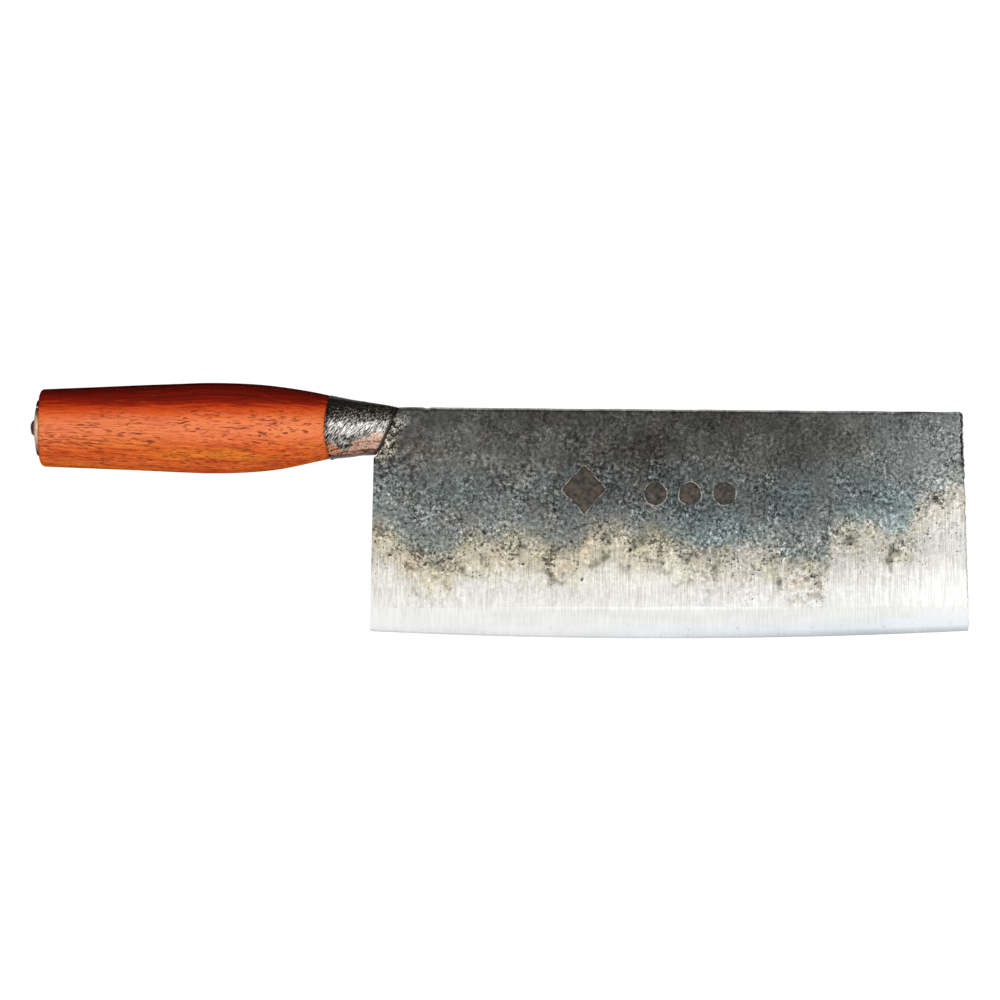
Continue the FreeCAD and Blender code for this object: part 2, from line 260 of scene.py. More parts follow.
def edge_side(x):
    bow = EDGE_LOW_Z + EDGE_SWEEP - np.sqrt(EDGE_SWEEP**2 - (x - EDGE_LOW_X) ** 2)
    return bow + 0.05 * np.abs(noise(xyz(x, 0, 0), 2.3, 33, 3))


def weld_line(x, seed):
    """Foot of the cladding, where the core comes out."""
    return EXPOSED_Z + 0.45 + 0.4 * noise(xyz(x, 0, 0), 14, seed, 4)


def face_height(x, z):
    """Half thickness of the clad blade before hammering."""
    upper = SPINE_HALF - FACE_FALL * (SPINE_Z - z) - FACE_THIN * (x - BIAS_X)
    crease = SPINE_HALF - FACE_FALL * (SPINE_Z - CREASE_Z) - FACE_THIN * (x - BIAS_X)
    foot = CORE_HALF + FEATHER
    t = (z - CREASE_Z) / (EXPOSED_Z - CREASE_Z)
    lower = crease + (foot - crease) * t
    blend = smooth(CREASE_Z - 3, CREASE_Z + 3, z)
    return lower + (upper - lower) * blend


def stamped(x, z):
    """0 outside the punched shapes, 1 on their floors."""
    cx, cz, half_x, half_z = LOZENGE
    inside = 1 - np.abs(x - cx) / half_x - np.abs(z - cz) / half_z
    wobble = 0.05 * noise(xyz(x, 0, z), 2.0, 5, 3)
    floor = smooth(0.0, 0.06, inside + wobble)
    for px, pz in PUNCHES:
        away = np.hypot(x - px, z - pz) / PUNCH_R
        floor = np.maximum(floor, smooth(0.0, 0.12, 1 - away + wobble))
    return floor


def pitted(x, z, line, seed):
    """Rust pits scattered along the foot of the scale, 0 outside and 1 at their middles."""
    draw = np.random.default_rng(seed)
    depth = np.zeros_like(x)
    for _ in range(PIT_COUNT):
        px = draw.uniform(66, 260)
        pz = np.interp(px, *zip(*line)) + draw.normal(0, 5) + (9 if draw.random() < 0.3 else 0)
        radius = draw.uniform(0.25, 0.75)
        squash, lean = draw.uniform(0.6, 1.4), draw.uniform(-0.5, 0.5)
        away = ((x - px) * squash + (z - pz) * lean) ** 2 + ((z - pz) / squash) ** 2
        depth = np.maximum(depth, np.exp(-((away / radius**2) ** 2)))
    return depth


def lug(y0, y1):
    """Solid behind the plate between two depths; its front end follows the slanted line."""
    outline = (
        (LUG_BACK, LUG_LOW),
        (bias(LUG_LOW), LUG_LOW),
        (bias(LUG_TOP), LUG_TOP),
        (LUG_BACK, LUG_TOP),
    )
    points = [(x, y, z) for y in (y0, y1) for x, z in outline]
    sides = [(0, 1, 2, 3), (7, 6, 5, 4)] + [(i, i + 4, (i + 1) % 4 + 4, (i + 1) % 4) for i in range(4)]
    return np.array(points), sides


def make_face(name, sign, seed, line, marked):
    """One cladding; sign is -1 for the marked face and 1 for the other."""
    u = spaced(0, TIP_X - HEEL_X, 0.45) / (TIP_X - HEEL_X)
    v = spaced(0, SPINE_Z - EXPOSED_Z, 0.45) / (SPINE_Z - EXPOSED_Z)
    uu, vv = np.meshgrid(u, v, indexing="ij")
    z = EXPOSED_Z + vv * (SPINE_Z - EXPOSED_Z)
    for _ in range(3):
        x = left_side(z) + uu * (right_side(z) - left_side(z))
        z = weld_line(x, seed) + vv * (top_side(x) - weld_line(x, seed))
    lift = face_height(x, z)
    spot = xyz(x, 0, z)
    hammer = 0.075 * noise(spot, 19, seed + 1, 2) + 0.03 * noise(spot, 6, seed + 2, 2)
    above = z - np.interp(x, *zip(*line))
    scaled = smooth(-6, 6, above)
    pits = pitted(x, z, line, seed)
    stamp = stamped(x, z) if marked else np.zeros_like(x)
    grit = 0.02 * noise(spot, 0.9, seed + 4, 2) * (0.3 + scaled)
    near_foot = smooth(0, 9, z - EXPOSED_Z)
    lift = lift + (hammer + grit) * near_foot - PIT_DEPTH * pits - STAMP_DEPTH * stamp
    away = np.minimum(np.minimum(x - left_side(z), right_side(z) - x), top_side(x) - z)
    wall = 1 - 0.22 * rounding(away, 0.3) / 0.3
    y = CORE_HALF + np.maximum(lift - CORE_HALF, 0.015) * wall
    outer = xyz(x, sign * y, z)
    foot, crown = outer[:, :1].copy(), outer[:, -1:].copy()
    foot[..., 1] = crown[..., 1] = sign * CORE_HALF
    loops = np.concatenate([foot, outer, crown], axis=1)
    fields = {
        "above": above,
        "pit": pits,
        "stamp": stamp,
        "heel": x - left_side(z),
        "crest": top_side(x) - z,
        "tip": right_side(z) - x,
    }
    padded = {key: np.pad(value, ((0, 0), (1, 1)), "edge") for key, value in fields.items()}
    return skin(name, loops, fields=padded, extra=[lug(sign * CORE_HALF, sign * LUG_HALF)])


def make_core():
    """Hard layer: a plate whose two sides are ground to a wedge along the edge."""
    span = TIP_X - HEEL_X
    u = spaced(0, span, 0.4, fine=(0.0, 0.05, 0.12, 0.25, 0.5)) / span
    heights = np.concatenate([[0, 0.12, 0.3, 0.55, 0.8], np.linspace(1.1, 12, 30), [25, 45, 60, 76]])
    uu, vv = np.meshgrid(u, heights / heights[-1], indexing="ij")
    z = EDGE_LOW_Z + vv * (SPINE_Z - EDGE_LOW_Z)
    for _ in range(3):
        left, right = left_side(z), right_side(z)
        x = left + uu * (right - left)
        low = edge_side(x) + rounding(x - left, 0.8) + rounding(right - x, 0.5)
        z = low + vv * (top_side(x) - 0.04 - low)
    rise = z - low
    wedge = 0.1 + 0.036 * rise
    bevel = 0.012 + 0.22 * rise
    half = np.minimum(np.minimum(wedge, bevel), CORE_HALF)
    ripple = 0.008 * noise(xyz(x, 0, z * 0.25), 3, 91, 3) * smooth(0.5, 3, rise)
    half = np.minimum(half + ripple, CORE_HALF)
    right_face, left_face = xyz(x, -half, z), xyz(x, half, z)
    loops = np.concatenate([right_face[:, ::-1], left_face], axis=1)
    rises = np.concatenate([rise[:, ::-1], rise], axis=1)
    return skin("core_steel", loops, fields={"rise": rises}, extra=[lug(-CORE_HALF, CORE_HALF)])


# ---------------------------------------------------------------- ferrule and braze


def cubic(stations):
    return np.poly1d(np.polyfit(FERRULE_X, stations, 3))


ferrule_high, ferrule_wide, ferrule_drop = map(cubic, (FERRULE_HIGH, FERRULE_WIDE, FERRULE_DROP))


def oval(x, angle, grow=0.0):
    """Point on the ferrule's form; angle 0 is +Y and a quarter turn is +Z."""
    y = (ferrule_wide(x) + grow) * np.cos(angle)
    z = ferrule_drop(x) + (ferrule_high(x) + grow) * np.sin(angle)
    return y, z


def mouth(angle):
    x = np.full_like(angle, SADDLE_X)
    for _ in range(6):
        y, _z = oval(x, angle)
        x = SADDLE_X - SADDLE_SWEEP + np.sqrt(SADDLE_SWEEP**2 - y**2)
    return x


def nose(angle, grow=0.0):
    x = np.full_like(angle, BIAS_X - 3)
    for _ in range(12):
        _y, z = oval(x, angle, grow)
        x = bias(z)
    return x


def make_ferrule():
    """Rolled sheet cone, open along its seam, hammered and filed."""
    half_gap = SEAM_GAP / 2 / SEAM_R
    angle = np.linspace(SEAM_ANGLE + half_gap, SEAM_ANGLE + 2 * math.pi - half_gap, 260)
    t = spaced(0, FERRULE_LENGTH, 0.3) / FERRULE_LENGTH
    aa, tt = np.meshgrid(angle, t, indexing="ij")
    start = mouth(angle)[:, None] + 0.12 * noise(xyz(angle * 10, 0, 0), 3, 41, 2)[:, None]
    stop = nose(angle)[:, None] - 0.05
    x = start + tt * (stop - start)
    y, z = oval(x, aa)
    spot = xyz(x, y, z)
    from_mouth, from_nose = x - start, stop - x
    lip = 0.22 * np.exp(-((from_mouth / 0.9) ** 2)) * (0.7 + 0.5 * noise(spot, 3, 42, 2))
    hammer = 0.13 * noise(spot, 5.5, 43, 2)
    files = 0.03 * noise(xyz(x + z * 0.8, (x - z) * 0.12, y * 0.3), 0.9, 44, 2)
    round_off = 0.28 * (smooth(0.3, 0, from_mouth) + smooth(0.3, 0, from_nose))
    edge_turn = 0.25 * np.exp(-(((aa - SEAM_ANGLE - 2 * math.pi + 0.08) / 0.12) ** 2))
    yo, zo = oval(x, aa, lip + hammer * smooth(0, 2, from_nose) + files - round_off + edge_turn)
    yi, zi = oval(x, aa, -WALL)
    loops = np.concatenate([xyz(x, yo, zo), xyz(x, yi, zi)[:, ::-1]], axis=1)
    return skin("ferrule_sleeve", loops)


def make_seam_bead():
    """Copper that ran along the gap of the rolled cone, lumpy, pulled down at the mouth."""
    middle = np.array([SEAM_ANGLE])
    start, stop = mouth(middle)[0] + 0.3, nose(middle)[0] - 0.05
    x = np.linspace(start, stop, 110)
    around = np.linspace(0, 2 * math.pi, 20, endpoint=False)
    xx, aa = np.meshgrid(x, around, indexing="ij")
    lump = 1 + 0.3 * noise(xyz(xx, aa, 0), 2.2, 51, 3)
    taper = np.sqrt(np.clip(1 - (2 * (xx - start) / (stop - start) - 1) ** 8, 0.05, 1))
    sideways = 1.15 * lump * taper * np.cos(aa)
    outward = -0.45 + 0.75 * lump * taper * np.sin(aa)
    angle = SEAM_ANGLE + sideways / SEAM_R
    y, z = oval(xx, angle, outward)
    return skin("seam_copper", xyz(xx, y, z))


def make_neck_fill():
    """Braze that fills the nose of the ferrule and stands up in a bead round the plate."""
    angle = np.linspace(0, 2 * math.pi, 120, endpoint=False)
    stop = nose(angle, -WALL - BRAZE_GAP)
    back = TENON_X + 1.0
    rings = []
    for t in np.linspace(0, 1, 26):
        x = back + t * (stop - back)
        y, z = oval(x, angle, -WALL - BRAZE_GAP)
        rings.append(xyz(x, y, z))
    middle = rings[-1].mean(axis=0)
    for shrink in np.linspace(0.93, 0.15, 12):
        ring = middle + (rings[25] - middle) * shrink
        bump = 0.3 + 0.35 * noise(ring, 1.8, 61, 3)
        ring[:, 0] += bump * smooth(1.0, 0.8, shrink) * 0.9
        rings.append(ring)
    return skin("neck_copper", rings)


# ---------------------------------------------------------------- grip, washer


def ring_at(x, radius, angle):
    """One circle about the handle axis, as a loop for skin()."""
    return xyz(x, radius * np.cos(angle), radius * np.sin(angle))[:, None]


def grip_radius(x):
    apex_x = BELLY_X + BELLY_SWEEP * BELLY_LEAN
    apex_r = BELLY_R + BELLY_SWEEP * (1 - math.cos(BELLY_LEAN))
    belly = apex_r - BELLY_SWEEP + np.sqrt(BELLY_SWEEP**2 - (x - apex_x) ** 2)
    cone = BUTT_R + (BELLY_R - BUTT_R) * (x - BUTT_X) / (BELLY_X - BUTT_X)
    return np.where(x > BELLY_X, belly, cone)


def make_grip():
    """Turned barrel with worn butt corners, open pores, a saddle front and its tenon."""
    angle = np.linspace(0, 2 * math.pi, 320, endpoint=False)
    length = SADDLE_X - BUTT_X
    t = spaced(0, length, 0.4, fine=(0.0, 0.1, 0.25, 0.45, 0.7, 1.0, 1.3)) / length
    aa, tt = np.meshgrid(angle, t, indexing="ij")
    front = mouth(angle)[:, None] - 0.04
    x = BUTT_X + tt * (front - BUTT_X)
    r = grip_radius(x)
    spot = xyz(x, r * np.cos(aa), r * np.sin(aa))
    grain = xyz(x * 0.12, spot[..., 1], spot[..., 2])
    turning = 0.10 * noise(spot, 26, 21, 2) + 0.03 * noise(grain, 2.4, 22, 2)
    pores = 0.07 * smooth(0.55, 0.95, noise(grain, 0.55, 23, 1))
    under = smooth(0.3, 0.9, -np.sin(aa))
    worn = 1.35 + 0.25 * noise(xyz(aa * 10, 0, 0), 6, 24, 3) + 0.45 * under
    corner = 1.5 * rounding(x - BUTT_X, worn)
    mouth_ease = 0.16 * smooth(0.5, 0, front - x) + 0.55 * under * smooth(30, 46, x)
    r = r + turning - pores - corner - mouth_ease
    outer = xyz(x, r * np.cos(aa), r * np.sin(aa))
    root_y, root_z = oval(front[:, 0], angle, -WALL - TENON_GAP)
    end_y, end_z = oval(TENON_X, angle, -WALL - TENON_GAP)
    loops = np.concatenate(
        [
            outer,
            xyz(front[:, 0], root_y, root_z)[:, None],
            xyz(TENON_X, end_y, end_z)[:, None],
            ring_at(TENON_X, BORE_R, angle),
            ring_at(BUTT_X, BORE_R, angle),
            ring_at(BUTT_X, BUTT_R - 3.2, angle),
        ],
        axis=1,
    )
    return skin("grip_barrel", loops, ring=True)


def make_washer():
    """Domed sheet washer, dented by the peening and nicked at the top of its rim."""
    angle = np.linspace(0, 2 * math.pi, 180, endpoint=False)
    rim, hole, wall = WASHER_HIGH[2], 2.3, 0.95
    crown, seat = WASHER_LOW[0], WASHER_HIGH[0]
    t = spaced(0, 1, 0.03, fine=(0.0, 0.01, 0.025, 0.045))
    aa, tt = np.meshgrid(angle, t, indexing="ij")
    r = rim - (rim - hole) * tt
    nick = 0.6 * np.exp(-(((aa - math.radians(97)) / 0.05) ** 2)) * smooth(hole + 4, rim, r)
    ragged = 0.10 * noise(xyz(aa * 9, 0, 0), 3, 81, 3)
    r = r + (ragged - nick) * smooth(hole, rim, r)
    dome = (r**2 - hole**2) / (rim**2 - hole**2)
    x = crown + (seat - 0.75 - crown) * dome
    dents = 0.10 * noise(xyz(r * np.cos(aa), r * np.sin(aa), 0), 2.6, 82, 2)
    rounded = 0.3 * smooth(0.03, 0.0, tt) + 0.12 * smooth(0.97, 1.0, tt)
    front = xyz(x + dents + rounded, r * np.cos(aa), r * np.sin(aa))
    back = [
        ring_at(crown + wall, hole, angle),
        ring_at(seat - 0.25, rim * 0.75, angle),
        ring_at(seat, rim - 0.9, angle),
    ]
    seat_ring = front[:, :1].copy()
    seat_ring[..., 0] = seat
    return skin("washer_dome", np.concatenate([front] + back + [seat_ring], axis=1), ring=True)


# ---------------------------------------------------------------- materials

# Places and sizes in a finish are millimetres in the row frame; light runs from 0 to 1.
BRUSHED = (1.0, 1.0, 0.04)
BRUSH_MIDDLE = 0.52


def srgb(red, green, blue):
    """Linear colour from 0 to 255 screen values."""
    values = [c / 255 for c in (red, green, blue)]
    return tuple(c / 12.92 if c <= 0.04045 else ((c + 0.055) / 1.055) ** 2.4 for c in values) + (1.0,)


class Nodes:
    """Short calls for the nodes of one shader."""

    def __init__(self, owner):
        owner.use_nodes = True
        self.tree = owner.node_tree
        self.tree.nodes.clear()

    def add(self, kind, inputs=None, **props):
        node = self.tree.nodes.new(kind)
        for key, value in props.items():
            setattr(node, key, value)
        for key, value in (inputs or {}).items():
            self.put(node.inputs[key], value)
        return node

    def put(self, socket, value):
        if isinstance(value, bpy.types.NodeSocket):
            self.tree.links.new(value, socket)
        else:
            socket.default_value = value

    def math(self, operation, a, b=0.0, c=0.0):
        return self.add("ShaderNodeMath", {0: a, 1: b, 2: c}, operation=operation).outputs[0]

    def times(self, value, *others):
        for other in others:
            value = self.math("MULTIPLY", value, other)
        return value

    def shift(self, value, share, by):
        """The value moved by an amount, as far as the share says."""
        return self.math("MULTIPLY_ADD", share, by, value)

    def vary(self, value, wave, by):
        """The value moved up and down by a noise that runs from 0 to 1."""
        return self.shift(value, self.math("SUBTRACT", wave, 0.5), by)

    def step(self, value, low, high, to_low=0.0, to_high=1.0):
        inputs = {0: value, 1: low, 2: high, 3: to_low, 4: to_high}
        node = self.add("ShaderNodeMapRange", inputs, interpolation_type="SMOOTHSTEP")
        return node.outputs[0]


class Finish(Nodes):
    """A material, with the noises, limits and colours that it is made of."""

    def __init__(self, name):
        self.material = bpy.data.materials.new(name)
        super().__init__(self.material)
        out = self.add("ShaderNodeOutputMaterial")
        self.bsdf = self.add("ShaderNodeBsdfPrincipled")
        self.put(out.inputs[0], self.bsdf.outputs[0])
        coords = self.add("ShaderNodeTexCoord")
        self.place = self.vector("SCALE", coords.outputs["Object"], scale=1 / MM)

    def vector(self, operation, a, b=None, scale=None):
        node = self.add("ShaderNodeVectorMath", {0: a}, operation=operation)
        if b is not None:
            self.put(node.inputs[1], b)
        if scale is not None:
            self.put(node.inputs["Scale"], scale)
        return node.outputs[0]

    def stretched(self, x, y, z):
        return self.vector("MULTIPLY", self.place, (x, y, z))

    def noise(self, size, detail=3.0, rough=0.55, where=None, warp=0.0):
        """Noise from 0 to 1 with lumps of the given size in millimetres."""
        inputs = {
            "Vector": where or self.place,
            "Scale": 1.0 / size,
            "Detail": detail,
            "Roughness": rough,
            "Distortion": warp,
        }
        return self.add("ShaderNodeTexNoise", inputs).outputs[0]

    def cells(self, size):
        inputs = {"Vector": self.place, "Scale": 1.0 / size}
        return self.add("ShaderNodeTexVoronoi", inputs).outputs["Distance"]

    def band(self, value, rise, full, fade, end):
        """1 between the inner two limits, 0 outside the outer two."""
        return self.times(self.step(value, rise, full), self.step(value, end, fade))

    def near(self, value, middle, outer, inner):
        """1 close to the middle, 0 from the outer distance on."""
        away = self.math("ABSOLUTE", self.math("SUBTRACT", value, middle))
        return self.step(away, outer, inner)

    def mix(self, share, a, b, blend="MIX"):
        node = self.add("ShaderNodeMix", data_type="RGBA", blend_type=blend)
        for socket, value in zip((node.inputs[0], node.inputs[6], node.inputs[7]), (share, a, b)):
            self.put(socket, value)
        return node.outputs[2]

    def tones(self, value, *stops):
        """Colours along a value; each stop is its place and a screen colour."""
        return self.ramp(value, *((place, srgb(*colour)) for place, *colour in stops))

    def ramp(self, value, *stops):
        node = self.add("ShaderNodeValToRGB", {0: value})
        elements = node.color_ramp.elements
        while len(elements) < len(stops):
            elements.new(0.5)
        for element, (position, colour) in zip(elements, stops):
            element.position, element.color = position, colour
        return node.outputs[0]

    def curve(self, value, *points):
        """Straight lines through (input, output) points; outputs stay within 0 to 1."""
        low, high = points[0][0], points[-1][0]
        share = self.add("ShaderNodeMapRange", {0: value, 1: low, 2: high}).outputs[0]
        stops = [((x - low) / (high - low), (y, y, y, 1.0)) for x, y in points]
        return self.ramp(share, *stops)

    def tint(self, share, colour, by):
        """Multiply a colour by another, as far as the share says."""
        return self.mix(share, colour, by + (1.0,), "MULTIPLY")

    def field(self, name):
        return self.add("ShaderNodeAttribute", attribute_name=name).outputs["Fac"]

    def axis(self, letter):
        return self.add("ShaderNodeSeparateXYZ", {0: self.place}).outputs[letter]

    def grazing(self, low=0.6, high=0.92):
        """0 where the surface faces the eye, 1 where it turns away at an outline."""
        return self.step(self.add("ShaderNodeLayerWeight").outputs["Facing"], low, high)

    def surface(self, colour, rough, metal, height=None, depth=0.1, **more):
        """Joins the shader up; depth is the bump's depth in millimetres."""
        self.put(self.bsdf.inputs["Base Color"], colour)
        self.put(self.bsdf.inputs["Roughness"], rough)
        self.put(self.bsdf.inputs["Metallic"], metal)
        for key, value in more.items():
            self.put(self.bsdf.inputs[key.replace("_", " ")], value)
        if height is not None:
            bump = self.add("ShaderNodeBump", {"Height": height, "Distance": depth * MM})
            self.put(self.bsdf.inputs["Normal"], bump.outputs[0])
        return self.material


def cladding_maps(f, offset):
    """Places on the blade, and the noises that several parts of the finish share."""
    z, heel = f.axis("Z"), f.field("heel")
    moved = f.vector("ADD", f.place, (offset, 0, 0))
    middle = f.noise(6, 3, 0.6, where=moved)
    wander = f.vary(f.field("above"), middle, 9.0)
    return SimpleNamespace(
        x=f.axis("X"),
        z=z,
        heel=heel,
        moved=moved,
        middle=middle,
        limit=f.vary(wander, f.noise(2.2, 2, 0.6), 6.0),
        brush=f.noise(0.42, 3, 0.65, where=f.stretched(*BRUSHED)),
        bias_patch=f.times(f.step(heel, 7.0, 2.0), f.band(z, -14.0, -8.0, 2.0, 6.5)),
    )


def scale_light(f, m):
    """Forge scale: darkest under the spine, paler towards its foot and towards the tip."""
    light = f.curve(
        m.z, (-45, 0.43), (-33, 0.405), (-25, 0.362), (-18, 0.335), (-12, 0.305), (-6, 0.27),
        (0, 0.25), (8, 0.22),
    )
    light = f.math("ADD", light, f.curve(m.limit, (-1, 0.20), (2, 0.13), (7, 0.045), (14, 0.0)))
    paler_tip = f.curve(m.z, (-36, 0.12), (-22, 0.18), (8, 0.23))
    light = f.shift(light, f.step(m.x, 196.0, 264.0), paler_tip)
    light = f.shift(light, f.step(m.x, 140.0, 84.0), 0.05)
    cloud = f.curve(m.x, (128, 0.0), (144, 1.0), (160, 1.0), (178, 0.0))
    light = f.shift(light, f.times(cloud, f.band(m.z, -34.0, -26.0, -8.0, 2.0)), -0.05)
    light = f.shift(light, f.times(f.step(m.x, 150.0, 200.0), f.step(m.z, -26.0, -34.0)), 0.06)
    light = f.vary(light, f.noise(17, 2, where=m.moved), 0.20)
    return f.vary(light, m.middle, 0.20)


def bared_light(f, m):
    """Ground iron: brighter away from the scale, held between two limits at each height."""
    light = f.curve(
        m.limit, (-38, 0.955), (-28, 0.93), (-18, 0.91), (-13, 0.87), (-9, 0.81), (-5, 0.75),
        (-1, 0.68), (2, 0.62),
    )
    darkest = f.curve(
        m.z, (-60, 0.90), (-57, 0.885), (-53, 0.84), (-49, 0.76), (-45, 0.63), (-41, 0.5)
    )
    lightest = f.curve(
        m.z, (-60, 0.92), (-53, 0.88), (-49, 0.84), (-45, 0.77), (-41, 0.72), (-35, 0.71)
    )
    lightest = f.shift(lightest, f.step(m.x, 230.0, 262.0), 0.09)
    return f.math("MINIMUM", f.math("MAXIMUM", light, darkest), lightest)


def grain_contrast(f, m):
    """How strongly the speckle shows: most on the lower scale, hardly on the ground band."""
    contrast = f.curve(
        m.limit, (-22, 0.1), (-12, 0.27), (-3, 0.53), (2, 0.85), (10, 0.95), (20, 0.85),
        (32, 0.55), (46, 0.38),
    )
    patchy = f.step(f.noise(8, 2, where=m.moved), 0.36, 0.62, 0.9, 1.8)
    return f.shift(f.times(contrast, patchy), m.bias_patch, 2.5)


def cladding_light(f, m, scale, grain, contrast):
    """Light of the whole face: scale over bare iron, smudges, speckle and grinding lines."""
    scaled, bared = scale_light(f, m), bared_light(f, m)
    light = f.shift(bared, scale, f.math("SUBTRACT", scaled, bared))
    smudge = f.step(f.noise(6.0, 4, 0.6, where=m.moved), 0.51, 0.64)
    smudge = f.times(smudge, f.band(m.limit, -13.0, -6.0, -1.0, 4.0))
    light = f.shift(light, smudge, -0.24)
    light = f.shift(light, m.bias_patch, 0.12)
    light = f.vary(light, grain, f.times(contrast, 1.25))
    flecks = f.step(f.noise(0.62, 2, 0.6), 0.55, 0.68)
    light = f.shift(light, f.times(flecks, contrast, scale), 0.15)
    ground = f.step(m.z, EXPOSED_Z, EXPOSED_Z + 9.0, 0.3, 0.55)
    ground = f.times(f.step(m.limit, 2.0, -9.0), ground)
    light = f.shift(light, f.math("SUBTRACT", m.brush, BRUSH_MIDDLE), ground)
    return f.vary(light, m.brush, f.times(f.step(m.limit, -6.0, 12.0), 0.12))


def border_wear_and_shade(f, m, light):
    """Rubbed spine with a painted highlight and painted shade under it, darker near its end, ragged black
    tip, painted shadow along the ferrule.
    """
    crest, tip = f.field("crest"), f.field("tip")
    # bright line along the spine: rubbed iron and a painted highlight on its rounding
    spine_wear_and_highlight = f.times(f.step(crest, 0.65, 0.3), f.step(f.noise(6, 2), 0.2, 0.45, 0.6, 1.0))
    spine_wear_and_highlight = f.times(spine_wear_and_highlight, f.curve(m.x, (78, 0.2), (86, 1.0), (200, 1.0), (235, 0.3)))
    light = f.shift(light, spine_wear_and_highlight, 0.36)
    # darker along the top near the tip end
    blackening = f.curve(m.x, (238, 0.0), (243, 1.0), (251, 1.0), (255, 0.0))
    light = f.shift(light, f.times(f.step(crest, 0.7, 0.4), blackening), -0.3)
    # painted shade just under the spine's rounding
    light = f.shift(light, f.band(crest, 0.5, 0.8, 0.9, 1.3), -0.09)
    burnt = f.times(f.band(tip, 0.25, 0.45, 0.8, 1.05), f.step(m.z, -16.0, -12.0))
    burnt = f.times(burnt, f.step(f.noise(1.2, 2, 0.6), 0.44, 0.5))
    light = f.shift(light, burnt, -0.7)
    tip_line = f.times(f.step(tip, 0.45, 0.15), f.step(m.z, -10.0, -16.0))
    light = f.shift(light, tip_line, -0.22)
    # painted shadow along the ferrule's slanted end, where it stands proud of the blade
    joint_shadow = f.times(f.step(m.heel, 0.75, 0.3), f.step(m.z, -12.5, -11.0))
    return f.shift(light, joint_shadow, -0.5)


def iron_greys(f, light):
    return f.tones(
        light,
        (0.05, 14, 13, 12), (0.18, 44, 43, 42), (0.30, 75, 75, 73), (0.42, 106, 107, 104),
        (0.56, 142, 142, 138), (0.70, 179, 178, 174), (0.83, 212, 211, 208), (0.93, 237, 237, 236),
        (1.0, 253, 253, 253),
    )


def heat_tints(f, m, colour):
    """Tan, yellow and pink along the foot of the scale, blue above it, rust under the spine."""
    tan = f.times(f.band(m.limit, -13.0, -4.0, 1.0, 9.0), f.step(m.x, 190.0, 140.0, 0.5, 1.0))
    colour = f.tint(tan, colour, (1.03, 0.98, 0.84))
    warm = f.curve(m.z, (-61, 0.45), (-56, 0.6), (-50, 1.0), (-30, 1.0))
    warm = f.times(warm, f.step(m.limit, 4.0, -6.0), f.step(m.x, 225.0, 140.0, 0.3, 1.0))
    colour = f.tint(warm, colour, (1.01, 0.99, 0.93))
    hue = f.noise(10, 2, where=f.vector("ADD", m.moved, (0, 0, 90)))
    yellow = f.times(f.step(hue, 0.52, 0.66), f.band(m.limit, -16.0, -6.0, -1.0, 5.0))
    colour = f.tint(yellow, colour, (1.01, 1.0, 0.90))
    pink = f.times(f.step(hue, 0.48, 0.34), f.band(m.limit, -12.0, -5.0, 1.0, 8.0))
    colour = f.tint(pink, colour, (1.03, 0.96, 0.93))
    blue_map = f.noise(20, 2, where=f.vector("ADD", m.moved, (0, 0, 40)))
    blue = f.times(f.step(m.z, -6.0, -22.0), f.step(m.limit, 0.0, 5.0))
    blue = f.times(blue, f.step(m.x, 120.0, 200.0, 0.6, 1.0), f.step(blue_map, 0.36, 0.6, 0.35, 1.0))
    blue_tip = f.times(f.step(m.x, 215.0, 245.0, 0.0, 0.35), f.step(m.limit, 2.0, 6.0))
    colour = f.tint(f.math("MAXIMUM", blue, blue_tip), colour, (0.81, 1.0, 1.06))
    rust = f.times(f.step(f.noise(14, 3, where=m.moved), 0.50, 0.68, 0.0, 0.8), f.step(m.limit, 3.0, 9.0))
    colour = f.tint(f.times(rust, f.step(m.x, 215.0, 170.0)), colour, (1.07, 0.98, 0.88))
    return f.tint(m.bias_patch, colour, (1.06, 0.99, 0.88))


def loose_crumbs(f, m):
    """Black crumbs in patches, thick at the foot of the scale and thinning towards the edge."""
    sparse = f.curve(
        m.limit, (-20, 0.78), (-12, 0.69), (-7, 0.64), (-2, 0.59), (2, 0.59), (8, 0.635), (20, 0.67)
    )
    by_height = f.curve(m.z, (-54, 0.80), (-48, 0.69), (-42, 0.64), (-30, 0.63))
    sparse = f.math("MINIMUM", sparse, by_height)
    sparse = f.vary(sparse, f.noise(9, 2, where=m.moved), -0.42)
    specks = f.noise(0.85, 2.5, 0.6, where=m.moved)
    return f.step(f.math("SUBTRACT", specks, sparse), 0.0, 0.045)


def punched_marks(f, colour):
    """Brown floors, dark walls and a bright rim that is worn iron and a painted highlight in one."""
    stamp = f.field("stamp")
    floor = f.mix(f.step(f.noise(1.7, 4, 0.7), 0.35, 0.65), srgb(40, 37, 33), srgb(92, 80, 70))
    colour = f.mix(f.times(f.step(stamp, 0.35, 0.8), 0.85), colour, floor)
    wall = f.band(stamp, 0.25, 0.6, 0.8, 1.0)
    colour = f.mix(f.times(wall, 0.7), colour, srgb(38, 34, 30))
    # bright rim: worn iron and a painted highlight
    rim = f.times(f.band(stamp, 0.0, 0.12, 0.2, 0.4), f.step(f.noise(2.4, 2), 0.42, 0.52))
    return f.mix(f.times(rim, 0.9), colour, srgb(190, 182, 166))


